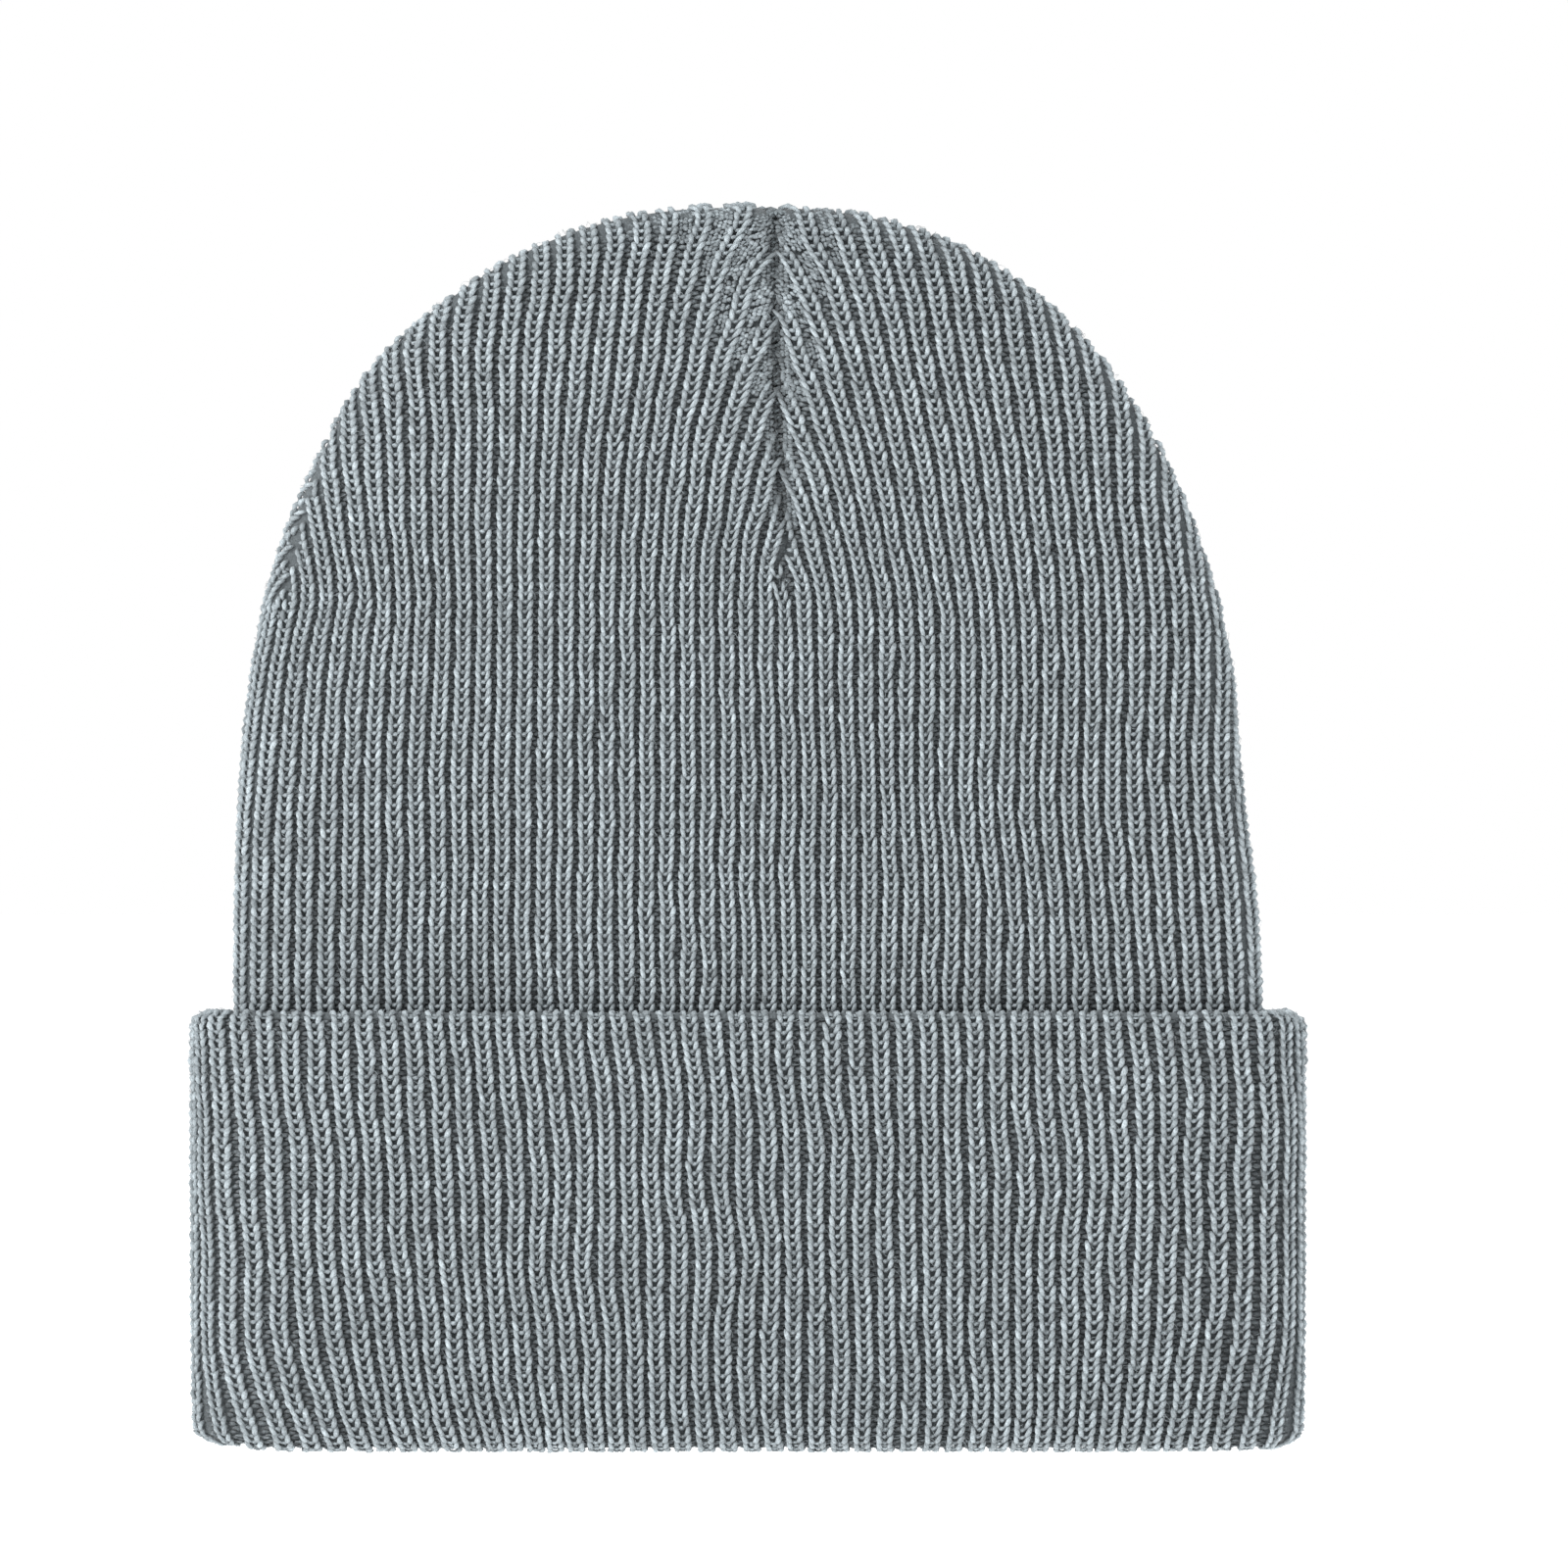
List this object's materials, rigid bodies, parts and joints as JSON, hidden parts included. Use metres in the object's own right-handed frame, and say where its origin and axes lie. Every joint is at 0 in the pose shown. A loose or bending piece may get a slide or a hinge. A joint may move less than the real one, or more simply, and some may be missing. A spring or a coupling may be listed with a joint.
{
  "type": "knit beanie",
  "caption": "Rib-knit beanie laid flat: darted round crown, straight body and a deep turned-up cuff that rolls down over its fold.",
  "frame": {"origin": "middle of the flat bottom of the fold, halfway between front and back", "axes": "+Z from the fold up to the crown, -Y out of the front, +X to the right as the front is seen"},
  "size_m": [0.2, 0.0224, 0.2248],
  "materials": {
    "rib_knit": "matte grey-blue acrylic yarn in 1 by 1 rib",
    "seam_thread": "matte darker grey sewing thread"
  },
  "bodies": {
    "hat": {"inner_roll": "rib_knit", "inner_band": "rib_knit", "body_tube": "rib_knit", "crown_gore_front_left": "rib_knit", "crown_gore_front_right": "rib_knit", "crown_gore_back_left": "rib_knit", "crown_gore_back_right": "rib_knit", "dart_seam_front": "seam_thread", "dart_seam_back": "seam_thread", "dart_seam_left": "seam_thread", "dart_seam_right": "seam_thread", "crown_tack": "seam_thread"},
    "fold": {"cuff_fold": "rib_knit", "cuff_roll": "rib_knit"},
    "turn_up": {"cuff_band": "rib_knit", "cuff_edge": "rib_knit"}
  },
  "joints": [
    {"name": "fold_slide", "type": "slide", "parent": "hat", "child": "fold", "axis": [0, 0, -1], "range_m": [0, 0.02], "deforming": ["inner_roll"]},
    {"name": "edge_slide", "type": "slide", "parent": "fold", "child": "turn_up", "axis": [0, 0, -1], "range_m": [0, 0.02], "deforming": ["cuff_roll"]}
  ],
  "couplings": [
    {"joint": "edge_slide", "follows": "fold_slide", "ratio": 1}
  ]
}
